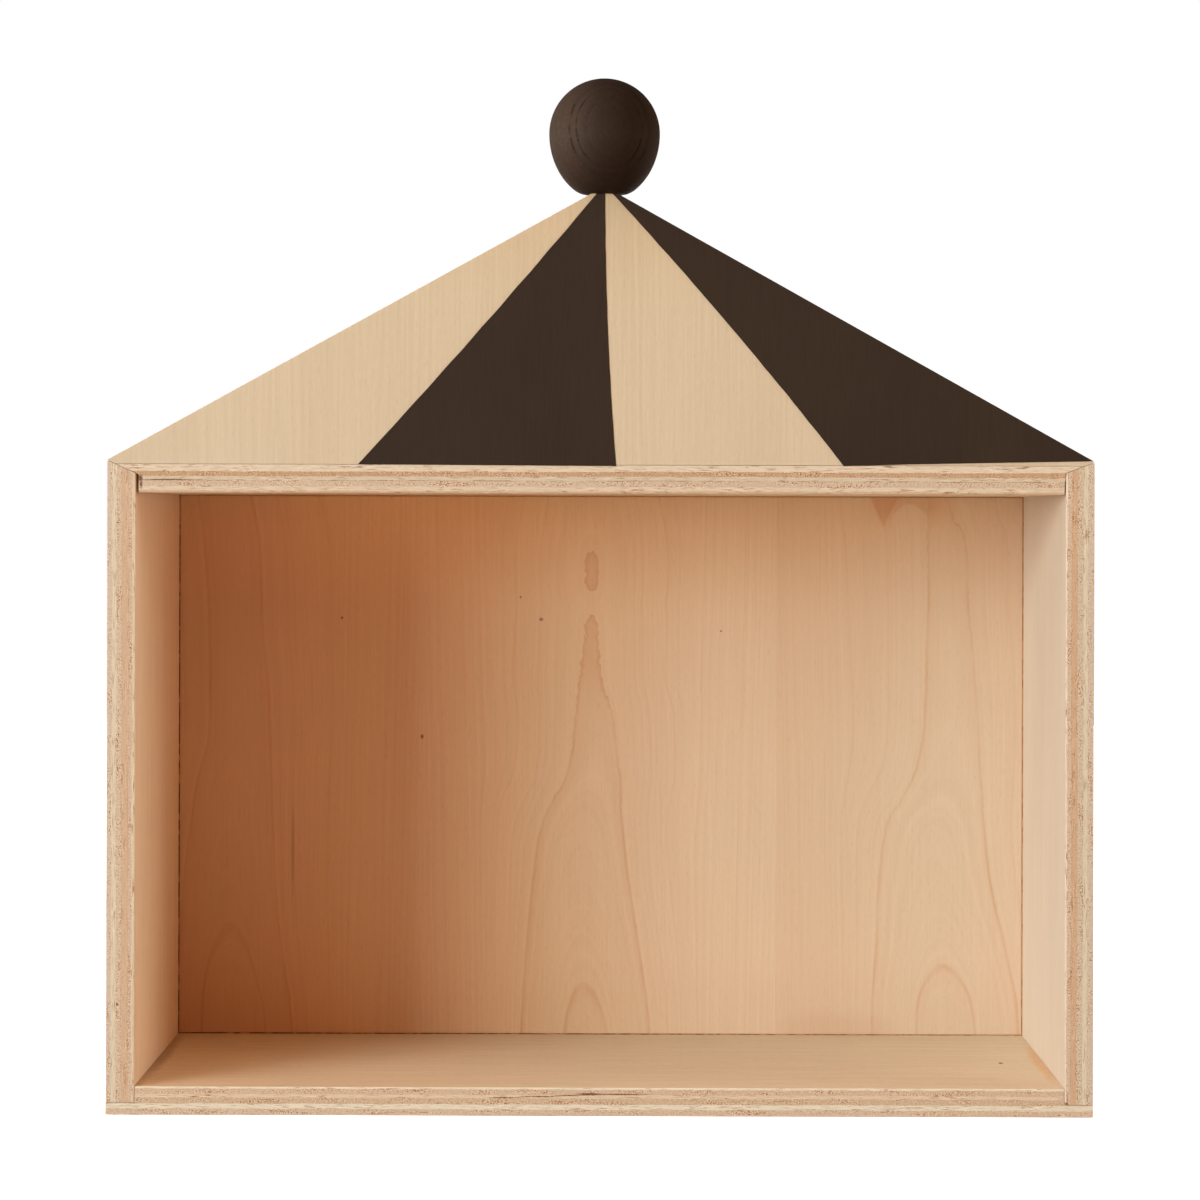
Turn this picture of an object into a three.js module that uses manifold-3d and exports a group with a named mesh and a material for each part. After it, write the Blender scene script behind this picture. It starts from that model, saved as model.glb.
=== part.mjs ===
// Circus-shaped wall shelf: an open plywood box, a striped tent front on its top board, a ball on the peak.
// Millimetres. X runs right, Y runs back to the wall and Z runs up.
// The origin is in the middle of the underside of the box.

import * as THREE from "three";
import { mergeVertices } from "three/addons/utils/BufferGeometryUtils.js";
import Module from "manifold-3d";

const wasm = await Module();
wasm.setup();

// Box of four boards and an inset back panel
const shelfWidth = 400;
const shelfDepth = 160;
const sideHeight = 265.2; // underside of the box to its two top corners
const boardThickness = 11.6; // 12 mm nominal plywood, sanded
const backThickness = 11.6;
const glueLine = 0.2; // left open at every glued face
const backGap = 0.4; // seam all round the back panel

// Corner joints, as they show on the front edges
const tongueThickness = 5; // lip of the bottom board that runs out under both sides
const topStep = 1.5; // the top board's upper face lies this far below the corners
const leftJoint = {
  side: -1,
  drop: 5.3, // fall of the side's top end from its outer to its inner face
  shoulderGap: 1.2, // open slot between the top board's shoulder and the side
};
const rightJoint = {
  side: 1,
  drop: 4.4,
  shoulderGap: 0.5,
};

// Tent front
const gableThickness = 11.6;
const roofRise = 111.2; // corners to the point where the two slopes would meet
const peakOffset = 1.2; // the peak stands a little right of the middle
const peakFlat = 10.4; // width of the flat that the ball stands on
const stripeBaseShares = [-0.246, 0.0155, 0.246]; // stripe edges along the base, of the shelf's width
const stripePeakShares = [-0.3, 0.03, 0.32]; // the same edges on the flat, of its width, from its middle
const paintThickness = 0.15;
const paintGap = 0.05;

// Ball on the peak, round above and a little longer below
const ballRadius = 22.5;
const ballSeatHeight = 24.5; // flat seat to the widest ring
const ballSeatCut = 2.7; // cut off the bottom to make the seat
const ballSeatRounding = 1.6;

// Wooden dowels
const dowelRadius = 3;
const dowelChamfer = 0.6;
const dowelFit = 0.2; // all round a dowel in its hole
const endRoom = 0.5; // beyond the end of a dowel or a screw
const finialDowelReach = 15; // into the ball, and into the gable
const gableDowelReach = 16; // up into the gable
const boardDowelReach = 8; // down into the top board
const outerDowelInset = 80; // outer face of a side to the nearest gable dowel

// Keyhole hangers, let into the rear of the back panel
const hangerInset = 38; // inner face of a side to a hanger's middle
const hangerDrop = 30; // top edge of the back panel to a hanger's middle
const plateWidth = 17;
const plateLength = 41;
const plateThickness = 1.6;
const plateFit = 0.25; // round the plate and behind it
const keyholeRadius = 4.75; // passes the head of a wall screw
const keyholeDrop = 4; // middle of the plate down to the middle of that hole
const slotWidth = 4.8; // holds the neck of a wall screw
const slotRise = 5; // middle of the plate up to the middle of the slot's round end
const pocketMargin = 1; // the routed pocket is this much wider than the hole
const pocketDepth = 6; // behind the plate

// Countersunk screws that hold the plates
const screwPitch = 30;
const screwLength = 8.6;
const screwPoint = 2.4;
const screwShankRadius = 1.4;
const screwHeadRadius = 2.9;
const screwHeadHeight = 1.4;
const screwFit = 0.2;
const screwSink = 0.1; // the head lies this far below the plate's face
const recessLength = 3;
const recessWidth = 0.7;
const recessDepth = 0.9;

// Cutting and rounding
const overrun = 1;
const weldDistance = 0.001;
const curveSteps = 6;
const ballSegments = 40;
const turnedSegments = 20;

// Places worked out from the sizes above
const halfWidth = shelfWidth / 2;
const innerHalf = halfWidth - boardThickness;
const frontY = -shelfDepth / 2;
const rearY = shelfDepth / 2;
const sideFoot = tongueThickness + glueLine;
const topFace = sideHeight - topStep;
const ceiling = topFace - boardThickness;
const gableBase = topFace + glueLine;
const gableMiddleY = frontY + gableThickness / 2;
const tipHeight = sideHeight + glueLine;
const flatHeight = tipHeight + roofRise - (peakFlat * roofRise) / shelfWidth;
const flatMiddleX = peakOffset * (1 - peakFlat / shelfWidth);
const backPanelTop = ceiling - backGap;
const hangerX = innerHalf - hangerInset;
const hangerZ = backPanelTop - hangerDrop;
const slotRadius = slotWidth / 2;
const pocketRadius = keyholeRadius + pocketMargin;
const ballLowerReach = ballSeatHeight + ballSeatCut;

// Finishes
const finish = (color, roughness, metalness = 0) =>
  new THREE.MeshStandardMaterial({ color, roughness, metalness });
const plywood = finish("#dbbb95", 0.55);
const plywoodInside = finish("#cfa377", 0.55);
const darkPaint = finish("#3e3027", 0.6);
const paintedBall = finish("#44362e", 0.45);
const dowelWood = finish("#c9a77c", 0.7);
const zincSteel = finish("#b9bdc1", 0.35, 0.9);

// A closed geometry as a solid that can be cut.
function solidOf(geometry) {
  const bare = geometry.clone().deleteAttribute("normal").deleteAttribute("uv");
  const merged = mergeVertices(bare, weldDistance);
  const corners = [];
  for (let i = 0; i < merged.index.count; i += 3) {
    const [a, b, c] = merged.index.array.slice(i, i + 3);
    if (a !== b && b !== c && c !== a) corners.push(a, b, c);
  }
  return new wasm.Manifold(
    new wasm.Mesh({
      numProp: 3,
      vertProperties: merged.attributes.position.array,
      triVerts: new Uint32Array(corners),
    }),
  );
}

// The same solid with every tool taken away, as a geometry with flat shading.
function cut(geometry, tools) {
  const rest = tools.reduce((body, tool) => body.subtract(solidOf(tool)), solidOf(geometry));
  const mesh = rest.getMesh();
  const points = [];
  for (let i = 0; i < mesh.numVert; i++) {
    points.push(...mesh.vertProperties.slice(i * mesh.numProp, i * mesh.numProp + 3));
  }
  const made = new THREE.BufferGeometry();
  made.setAttribute("position", new THREE.Float32BufferAttribute(points, 3));
  made.setIndex([...mesh.triVerts]);
  const flat = made.toNonIndexed();
  flat.computeVertexNormals();
  return flat;
}

// A closed outline through a list of corners.
const outlineOf = (corners) => new THREE.Shape(corners.map(([x, z]) => new THREE.Vector2(x, z)));

// An outline drawn in X and Z, given a thickness that runs back along Y from zero.
function upright(outline, thickness) {
  const geometry = new THREE.ExtrudeGeometry(outline, {
    depth: thickness,
    bevelEnabled: false,
    curveSegments: curveSteps,
  });
  return geometry.rotateX(Math.PI / 2).translate(0, thickness, 0);
}

// A profile of [radius, height] pairs turned about Z.
function turned(profile, segments = turnedSegments) {
  const points = profile.map(([radius, height]) => new THREE.Vector2(radius, height));
  return new THREE.LatheGeometry(points, segments).rotateX(Math.PI / 2);
}

// A plain round hole along Z from one height to another.
const roundHole = (radius, bottom, top) =>
  turned([[0, bottom], [radius, bottom], [radius, top], [0, top]]);

function piece(name, geometry, material, x = 0, y = 0, z = 0) {
  const mesh = new THREE.Mesh(geometry, material);
  mesh.name = name;
  mesh.position.set(x, y, z);
  return mesh;
}

// A point on a side's sloping top end, or above it by a gap, at a distance in from its outer face.
function mitrePoint(joint, inset, gap = 0) {
  const fall = (inset * joint.drop) / boardThickness;
  return [joint.side * (halfWidth - inset), sideHeight - fall + gap];
}

// The point above that slope, by a glue line, where it reaches a height.
function mitreAtHeight(joint, height) {
  const inset = ((sideHeight + glueLine - height) * boardThickness) / joint.drop;
  return [joint.side * (halfWidth - inset), height];
}

// One side board. Its top end falls inwards and its foot stands on the tongue.
function sideGeometry(joint) {
  const outline = outlineOf([
    [joint.side * halfWidth, sideFoot],
    mitrePoint(joint, 0),
    mitrePoint(joint, boardThickness),
    [joint.side * innerHalf, sideFoot],
  ]);
  return upright(outline, shelfDepth);
}

// Three round holes on the middle line of the gable, made at the given heights.
const gableDowelPlaces = [-halfWidth + outerDowelInset, 0, halfWidth - outerDowelInset];
const dowelHoles = (bottom, top, y) =>
  gableDowelPlaces.map((x) => roundHole(dowelRadius + dowelFit, bottom, top).translate(x, y, 0));

// Top board. Each end thins to a point over the side's slope and has a square shoulder below it.
function topBoardGeometry() {
  const end = (joint) => {
    const shoulder = mitrePoint(joint, boardThickness + joint.shoulderGap, glueLine);
    return [mitreAtHeight(joint, topFace), shoulder, [shoulder[0], ceiling]];
  };
  const outline = outlineOf([...end(leftJoint), ...end(rightJoint).reverse()]);
  const bottom = topFace - boardDowelReach - endRoom;
  return cut(upright(outline, shelfDepth), dowelHoles(bottom, topFace + overrun, gableThickness / 2));
}

// Bottom board. Its lower lip is as wide as the shelf, and the rest fits between the sides.
function bottomBoardGeometry() {
  const shoulderX = innerHalf - glueLine;
  const outline = outlineOf([
    [-halfWidth, 0],
    [halfWidth, 0],
    [halfWidth, tongueThickness],
    [shoulderX, tongueThickness],
    [shoulderX, boardThickness],
    [-shoulderX, boardThickness],
    [-shoulderX, tongueThickness],
    [-halfWidth, tongueThickness],
  ]);
  return upright(outline, shelfDepth);
}

// A slot-shaped outline: two half circles of one radius, between two heights on the line x = 0.
function slotOutline(radius, low, high) {
  const outline = new THREE.Shape();
  outline.absarc(0, high, radius, 0, Math.PI);
  outline.absarc(0, low, radius, Math.PI, 2 * Math.PI);
  return outline;
}

// Outline of a hanger plate, grown by a margin.
function plateOutline(margin) {
  const endRadius = plateWidth / 2;
  const endMiddle = plateLength / 2 - endRadius;
  return slotOutline(endRadius + margin, -endMiddle, endMiddle);
}

// What the router and the drill take out of the panel for one hanger, in the hanger's own frame:
// its rear face is at y = 0 and the wood lies towards -Y.
function hangerCuts() {
  const recess = plateThickness + plateFit;
  const seat = upright(plateOutline(plateFit), recess + overrun).translate(0, -recess, 0);
  const pocket = upright(
    slotOutline(pocketRadius, -keyholeDrop, slotRise),
    recess + pocketDepth + overrun,
  ).translate(0, -recess - pocketDepth, 0);
  const pilotDepth = screwSink + screwLength + endRoom;
  const pilots = [-1, 1].map((end) =>
    roundHole(screwShankRadius + screwFit, -overrun, pilotDepth)
      .rotateX(Math.PI / 2)
      .translate(0, 0, (end * screwPitch) / 2),
  );
  return [seat, pocket, ...pilots];
}

// Back panel, set in between the four boards, flush with their rear edges.
function backPanelGeometry() {
  const edge = innerHalf - backGap;
  const foot = boardThickness + backGap;
  const outline = outlineOf([
    [-edge, foot],
    [edge, foot],
    [edge, backPanelTop],
    [-edge, backPanelTop],
  ]);
  const cuts = [-1, 1].flatMap((side) =>
    hangerCuts().map((tool) => tool.translate(side * hangerX, backThickness, hangerZ)),
  );
  return cut(upright(outline, backThickness), cuts);
}

// Triangular front panel. Its base corners lie on the sides' slopes and its peak is cut flat.
const roofCorners = {
  leftTip: [-halfWidth, tipHeight],
  leftFlat: [flatMiddleX - peakFlat / 2, flatHeight],
  rightFlat: [flatMiddleX + peakFlat / 2, flatHeight],
  rightTip: [halfWidth, tipHeight],
  rightBase: mitreAtHeight(rightJoint, gableBase),
  leftBase: mitreAtHeight(leftJoint, gableBase),
};

function gableGeometry() {
  const holes = dowelHoles(
    gableBase - overrun,
    gableBase + gableDowelReach + endRoom,
    gableThickness / 2,
  );
  const finialHole = roundHole(
    dowelRadius + dowelFit,
    flatHeight - finialDowelReach - endRoom,
    flatHeight + overrun,
  ).translate(flatMiddleX, gableThickness / 2, 0);
  return cut(upright(outlineOf(Object.values(roofCorners)), gableThickness), [...holes, finialHole]);
}

// Dark paint on the second and fourth stripes, which run from the base to the peak.
const stripeEdges = stripeBaseShares.map((share, i) => ({
  base: [share * shelfWidth, gableBase],
  peak: [flatMiddleX + stripePeakShares[i] * peakFlat, flatHeight],
}));
const leftStripeOutline = outlineOf([
  stripeEdges[0].base,
  stripeEdges[1].base,
  stripeEdges[1].peak,
  stripeEdges[0].peak,
]);
const rightStripeOutline = outlineOf([
  stripeEdges[2].base,
  roofCorners.rightBase,
  roofCorners.rightTip,
  roofCorners.rightFlat,
  stripeEdges[2].peak,
]);

// Wooden ball with a flat seat and a hole for its dowel. Its seat is at z = 0.
function ballGeometry() {
  const startAngle = Math.asin((ballSeatHeight - ballSeatRounding) / ballLowerReach);
  const seatRadius = ballRadius * Math.sqrt(1 - (ballSeatHeight / ballLowerReach) ** 2);
  const startRadius = ballRadius * Math.cos(startAngle);
  const profile = new THREE.Path();
  profile.moveTo(0, 0);
  profile.lineTo(seatRadius - ballSeatRounding, 0);
  profile.quadraticCurveTo(seatRadius, 0, startRadius, ballSeatRounding);
  profile.absellipse(0, ballSeatHeight, ballRadius, ballLowerReach, -startAngle, 0);
  profile.absarc(0, ballSeatHeight, ballRadius, 0, Math.PI / 2);
  const outer = turned(profile.getPoints(curveSteps).map((p) => [Math.max(p.x, 0), p.y]), ballSegments);
  const holeTop = finialDowelReach + endRoom;
  return cut(outer, [roundHole(dowelRadius + dowelFit, -overrun, holeTop)]);
}

// Dowel with chamfered ends, between two heights.
const dowelGeometry = (bottom, top) =>
  turned([
    [0, bottom],
    [dowelRadius - dowelChamfer, bottom],
    [dowelRadius, bottom + dowelChamfer],
    [dowelRadius, top - dowelChamfer],
    [dowelRadius - dowelChamfer, top],
    [0, top],
  ]);

// Steel plate with a keyhole and two countersunk holes. Its rear face is at y = 0.
function plateGeometry() {
  const outline = plateOutline(0);
  const meet = Math.acos(slotRadius / keyholeRadius);
  const keyhole = new THREE.Path();
  keyhole.absarc(0, -keyholeDrop, keyholeRadius, Math.PI - meet, 2 * Math.PI + meet);
  keyhole.absarc(0, slotRise, slotRadius, 0, Math.PI);
  outline.holes.push(keyhole);
  const blank = upright(outline, plateThickness).translate(0, -plateThickness, 0);
  const neck = screwShankRadius + screwFit;
  const countersink = [
    [0, -overrun],
    [screwHeadRadius + screwFit, -overrun],
    [screwHeadRadius + screwFit, screwSink],
    [neck, screwSink + screwHeadHeight],
    [neck, plateThickness + overrun],
    [0, plateThickness + overrun],
  ];
  const holes = [-1, 1].map((end) =>
    turned(countersink).rotateX(Math.PI / 2).translate(0, 0, (end * screwPitch) / 2),
  );
  return cut(blank, holes);
}

// Countersunk wood screw with a cross recess. It points along -Y, its head's face at y = 0.
function screwGeometry() {
  const body = turned([
    [0, 0],
    [screwHeadRadius, 0],
    [screwShankRadius, screwHeadHeight],
    [screwShankRadius, screwLength - screwPoint],
    [0, screwLength],
  ]).rotateX(Math.PI / 2);
  const arm = (width, height) =>
    new THREE.BoxGeometry(width, 2 * recessDepth, height);
  return cut(body, [arm(recessLength, recessWidth), arm(recessWidth, recessLength)]);
}

const shelf = new THREE.Group();

const box = new THREE.Group();
box.add(
  piece("left_side", sideGeometry(leftJoint), plywood, 0, frontY),
  piece("right_side", sideGeometry(rightJoint), plywood, 0, frontY),
  piece("top_board", topBoardGeometry(), plywood, 0, frontY),
  piece("bottom_board", bottomBoardGeometry(), plywood, 0, frontY),
  piece("back_panel", backPanelGeometry(), plywoodInside, 0, rearY - backThickness),
);

const tentFront = new THREE.Group();
tentFront.position.y = frontY;
const paintY = -paintGap - paintThickness;
const gableDowel = dowelGeometry(topFace - boardDowelReach, gableBase + gableDowelReach);
tentFront.add(
  piece("gable", gableGeometry(), plywood),
  piece("paint_stripe_left", upright(leftStripeOutline, paintThickness), darkPaint, 0, paintY),
  piece("paint_stripe_right", upright(rightStripeOutline, paintThickness), darkPaint, 0, paintY),
);
gableDowelPlaces.forEach((x, i) => {
  tentFront.add(piece("gable_dowel_" + (i + 1), gableDowel, dowelWood, x, gableThickness / 2));
});

const finial = new THREE.Group();
finial.position.set(flatMiddleX, gableMiddleY, flatHeight);
finial.add(
  piece("finial_ball", ballGeometry(), paintedBall, 0, 0, glueLine),
  piece("finial_dowel", dowelGeometry(-finialDowelReach, glueLine + finialDowelReach), dowelWood),
);

const hangers = [-1, 1].map((side) => {
  const label = side < 0 ? "left" : "right";
  const hanger = new THREE.Group();
  hanger.position.set(side * hangerX, rearY, hangerZ);
  hanger.add(piece(label + "_hanger_plate", plateGeometry(), zincSteel));
  for (const end of [-1, 1]) {
    const name = label + "_hanger_screw_" + (end < 0 ? "lower" : "upper");
    hanger.add(piece(name, screwGeometry(), zincSteel, 0, -screwSink, (end * screwPitch) / 2));
  }
  return hanger;
});

shelf.add(box, tentFront, finial, ...hangers);

export default shelf;
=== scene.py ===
"""Circus-shaped wall shelf: a plywood box, a striped tent front and a painted ball on its peak.

Metres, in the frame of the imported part: X runs right, Y runs back to the wall, Z runs up.
Sizes are written in millimetres and turned to metres by MM.
"""

import math
import random

import bpy
import bmesh
from mathutils import Matrix, Vector, noise
from mathutils.bvhtree import BVHTree


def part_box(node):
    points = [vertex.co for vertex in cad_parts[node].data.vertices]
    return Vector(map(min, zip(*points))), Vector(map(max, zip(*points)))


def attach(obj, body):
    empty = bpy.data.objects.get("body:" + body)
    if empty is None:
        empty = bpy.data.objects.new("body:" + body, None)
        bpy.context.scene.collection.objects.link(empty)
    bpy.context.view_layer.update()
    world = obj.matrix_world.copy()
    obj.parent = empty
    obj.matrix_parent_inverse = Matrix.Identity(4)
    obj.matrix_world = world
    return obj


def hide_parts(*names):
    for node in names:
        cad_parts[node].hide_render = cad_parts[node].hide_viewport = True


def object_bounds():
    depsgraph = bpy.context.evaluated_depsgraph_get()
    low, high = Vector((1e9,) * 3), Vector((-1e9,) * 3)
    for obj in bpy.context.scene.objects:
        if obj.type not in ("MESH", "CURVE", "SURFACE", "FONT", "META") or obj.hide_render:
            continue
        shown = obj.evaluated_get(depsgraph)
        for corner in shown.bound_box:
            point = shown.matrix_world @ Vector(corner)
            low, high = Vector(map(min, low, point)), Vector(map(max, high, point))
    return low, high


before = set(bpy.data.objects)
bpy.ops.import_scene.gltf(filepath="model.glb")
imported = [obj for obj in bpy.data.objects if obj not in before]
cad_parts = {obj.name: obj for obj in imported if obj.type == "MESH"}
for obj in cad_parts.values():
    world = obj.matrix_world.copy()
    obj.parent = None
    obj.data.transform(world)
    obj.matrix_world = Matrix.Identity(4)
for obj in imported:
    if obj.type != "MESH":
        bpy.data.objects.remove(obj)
cad_low, cad_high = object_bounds()

MM = 0.001
X, Y, Z = range(3)

# Sizes of the finished surfaces, in millimetres
ARRIS = 0.35  # sanded off each free edge of a board
GABLE_ARRIS = 0.15
TOUCHING = 0.3  # an edge nearer than this to its neighbour is left sharp
JOINT_CLOSED = 0.03  # a glued face grows this far, because a clamped glue line is a hairline
PLATE_ARRIS = 0.15
SHARP = math.radians(30)  # an edge that turns more than this is an arris
CREASE = math.radians(35)  # and on a turned or pressed piece this is a crease
SHORT = 8.0  # an edge shorter than this is left sharp
WELD = 0.002  # corners nearer than this are one
ALONG_AXIS = 0.99  # a face's normal is this near an axis where the face is square
SHOULDER_TOP = 255.0  # the top board's shoulders lie below this height
CORNER = 0.6  # reach of the search for the shoulder's corner
SPLINTERS, SPLINTER_TALL, SPLINTER_DEEP = 16, 0.9, 0.75  # cuts, and the size of a splinter
PAINT = 0.15  # thickness of the paint film
STRIPE_STEP = 1.2  # spacing of the points along a painted edge
BRUSH_WANDER = 0.06  # how far the painted edge strays from its line
SEAM_GAP = 0.4  # round the rear panel; the glue lies between 0.1 and 0.9 of it
GLUE_SUNK = 0.06  # the glue's depth below the panel's faces
BALL_SEGMENTS = 160
SEED = 11


# Colour and node helpers


def linear(code):
    """An sRGB hex colour as linear RGBA."""
    parts = [int(code[i : i + 2], 16) / 255 for i in (1, 3, 5)]
    return [c / 12.92 if c <= 0.04045 else ((c + 0.055) / 1.055) ** 2.4 for c in parts] + [1.0]


def add(tree, kind, *values, stops=(), curve=(), **words):
    """Adds one node. Values go to its shown sockets in order; a word is one of its properties or
    the name of a socket. Nodes and sockets are linked, and other values are set. A ramp's stops
    are places with a colour or a grey. A colour is a hex code."""
    made = tree.nodes.new(kind if kind.startswith("Geometry") else "ShaderNode" + kind)
    for word in [w for w in words if hasattr(made, w)]:
        setattr(made, word, words.pop(word))
    shown = [s for s in made.inputs if s.enabled]
    named = [(next(s for s in shown if s.name == w.replace("_", " ")), v) for w, v in words.items()]
    for socket, value in [*zip(shown, values), *named]:
        if isinstance(value, bpy.types.Node):
            value = next(s for s in value.outputs if s.enabled)
        if isinstance(value, bpy.types.NodeSocket):
            tree.links.new(value, socket)
        elif value is not None:
            socket.default_value = linear(value) if isinstance(value, str) else value
    if stops:
        ramp = made.color_ramp
        while len(ramp.elements) < len(stops):
            ramp.elements.new(1.0)
        for element, (place, tone) in zip(ramp.elements, stops):
            element.position = place
            element.color = linear(tone) if isinstance(tone, str) else [tone] * 3 + [1.0]
    if curve:
        line = made.mapping.curves[0]
        while len(line.points) < len(curve):
            line.points.new(0.5, 0.5)
        for point, place in zip(line.points, curve):
            point.location = place
        made.mapping.update()
    return made


def empty_tree(owner):
    """The node tree of a new material or world, with nothing in it."""
    owner.use_nodes = True
    owner.node_tree.nodes.clear()
    return owner.node_tree


def begin(name, roughness, ior=1.5, metallic=0.0, specular=0.5):
    """A new material: its tree, its shader and where a point is on the piece, in metres."""
    material = bpy.data.materials.new(name)
    tree = empty_tree(material)
    shader = add(
        tree,
        "BsdfPrincipled",
        Roughness=roughness,
        IOR=ior,
        Metallic=metallic,
        Specular_IOR_Level=specular,
    )
    add(tree, "OutputMaterial", shader)
    place = add(tree, "TexCoord").outputs["Object"]
    return material, tree, shader, place


def in_millimetres(tree, place):
    """A point's X, Y and Z in millimetres, as three outputs."""
    scaled = add(tree, "VectorMath", place, [1 / MM] * 3, operation="MULTIPLY")
    return add(tree, "SeparateXYZ", scaled).outputs


def streaks(tree, place, sizes, seed, detail=2.0, roughness=0.5):
    """A soft random pattern from 0 to 1, whose marks are of these sizes in mm along X, Y and Z."""
    scale = [1 / (s * MM) for s in sizes]
    scaled = add(tree, "Mapping", place, Location=[seed, 1.7 * seed, 2.3 * seed], Scale=scale)
    return add(tree, "TexNoise", scaled, Scale=1.0, Detail=detail, Roughness=roughness)


def total(tree, start, *parts):
    """start plus each (signal, weight), where a signal is taken about its middle, 0.5."""
    for signal, weight in parts:
        centred = add(tree, "Math", signal, weight, -0.5 * weight, operation="MULTIPLY_ADD")
        start = add(tree, "Math", start, centred, operation="ADD")
    return start


def marked(tree, place, colour, up, marks, stain, most):
    """Pin knots, streaks and stains. Each mark is (x, z, half width, half length) in mm, or has y
    in place of z where up is Y. Most is how far the stain covers a mark's middle."""
    for x, z, wide, tall in marks:
        middle, reach = [-x / wide, 0, 0], [1 / (wide * MM), 0, 0]
        middle[up], reach[up] = -z / tall, 1 / (tall * MM)
        near = add(tree, "Mapping", place, Location=middle, Scale=reach)
        away = add(tree, "VectorMath", near, operation="LENGTH").outputs["Value"]
        dark = add(tree, "MapRange", away, 0.5, 1.2, most, 0.0)
        colour = add(tree, "Mix", dark, colour, stain, data_type="RGBA")
    return colour


def strayed(tree, place, pattern, reach):
    """The place moved to and fro by a pattern, by up to half of reach in mm along X, Y and Z."""
    moved = add(tree, "VectorMath", pattern.outputs["Color"], operation="MULTIPLY_ADD")
    moved.inputs[1].default_value = [r * MM for r in reach]
    back = add(tree, "VectorMath", place, [-0.5 * r * MM for r in reach])
    tree.links.new(back.outputs["Vector"], moved.inputs[2])
    return moved


def graded(tree, along, stops):
    """What changes along a line. A stop is a place in mm and a value or a hex code."""
    low, high = stops[0][0], stops[-1][0]
    share = add(tree, "MapRange", along, low, high)
    ramp = [((at - low) / (high - low), tone) for at, tone in stops]
    return add(tree, "ValToRGB", share, stops=ramp)


def tinted(tree, colour, along, stops):
    """The colour times a tint that changes along a line."""
    tint = graded(tree, along, stops)
    return add(tree, "Mix", 1.0, colour, tint, data_type="RGBA", blend_type="MULTIPLY")


def cover(tree, shader, colour, height, depth):
    """Gives the shader its colour, and a bump from a pattern, depth in mm."""
    relief = add(tree, "Bump", Strength=0.5, Distance=depth * MM, Height=height)
    tree.links.new(relief.outputs["Normal"], shader.inputs["Normal"])
    tree.links.new(colour.outputs["Result"], shader.inputs["Base Color"])


def with_grain(tree, place, along, seed):
    """A function that makes streaks whose marks are wide across the grain and tall along it, in mm.
    Its step keeps one pattern's seed apart from the next."""

    def pattern(wide, tall, step, *texture):
        sizes = [tall if axis == along else wide for axis in range(3)]
        return streaks(tree, place, sizes, seed + step, *texture)

    return pattern


# Wood veneer


def veneer(
    name, across, along, pale, tan, streak, seed,
    rings=0.30, flecks=0.16, grain=1.0, fine=1.1, figure=None, shade_and_tint=None,
):
    """Sliced maple veneer, sanded and oiled thin. Fine fibres run with the grain, soft growth
    lines lie a few millimetres apart, and short brown flecks are pores and rays cut open. The
    fibres and flecks are drawn about three times too coarse, so that they show. Grain is the
    strength of the fine pattern and fine is a fibre's width in mm, wider on a face seen aslant."""
    material, tree, shader, place = begin(name, 0.68, ior=1.65, specular=1.0)
    pattern = with_grain(tree, place, along, seed)
    broad = pattern(30, 170, 0)
    fibre = pattern(fine, 55, 3, 3.0, 0.65)
    mottle = pattern(1.2, 3.2, 9, 3.0, 0.7)
    fleck = pattern(0.8, 4.0, 5)
    if figure is None:
        wander = pattern(45, 260, 7)
        spot = add(tree, "SeparateXYZ", place)
        apart = add(tree, "Math", spot.outputs[across], 1 / MM, operation="MULTIPLY")
        line_at = add(tree, "Math", wander, 26.0, apart, operation="MULTIPLY_ADD")
        latewood = None
    else:
        line_at, latewood = figure(tree, place)
    growth = add(tree, "TexNoise", line_at, noise_dimensions="1D", Scale=0.5, Detail=4.0, Roughness=0.7)
    fine_parts = ((growth, 1.6 * rings * grain), (fibre, 0.55 * grain), (mottle, 0.3 * grain))
    tone = total(tree, 0.5, (broad, 0.55), *fine_parts)
    colour = add(tree, "Mix", tone, tan, pale, data_type="RGBA")
    if latewood is not None:
        colour = latewood(colour)
    cut = add(tree, "MapRange", fleck, 0.57, 0.75, 0.0, flecks)
    colour = add(tree, "Mix", cut, colour, streak, data_type="RGBA")
    # Tints laid over the grain: painted shade on the left board and the floor, a tone towards the peak on
    # the tent front
    if shade_and_tint is not None:
        colour = shade_and_tint(tree, place, colour)
    cover(tree, shader, colour, fibre, 0.02)
    return material


# The rear panel's face: one log's slices laid side by side, each with the same arched figure.
# An arch's height and lean are drawn along Z for each leaf.

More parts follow.
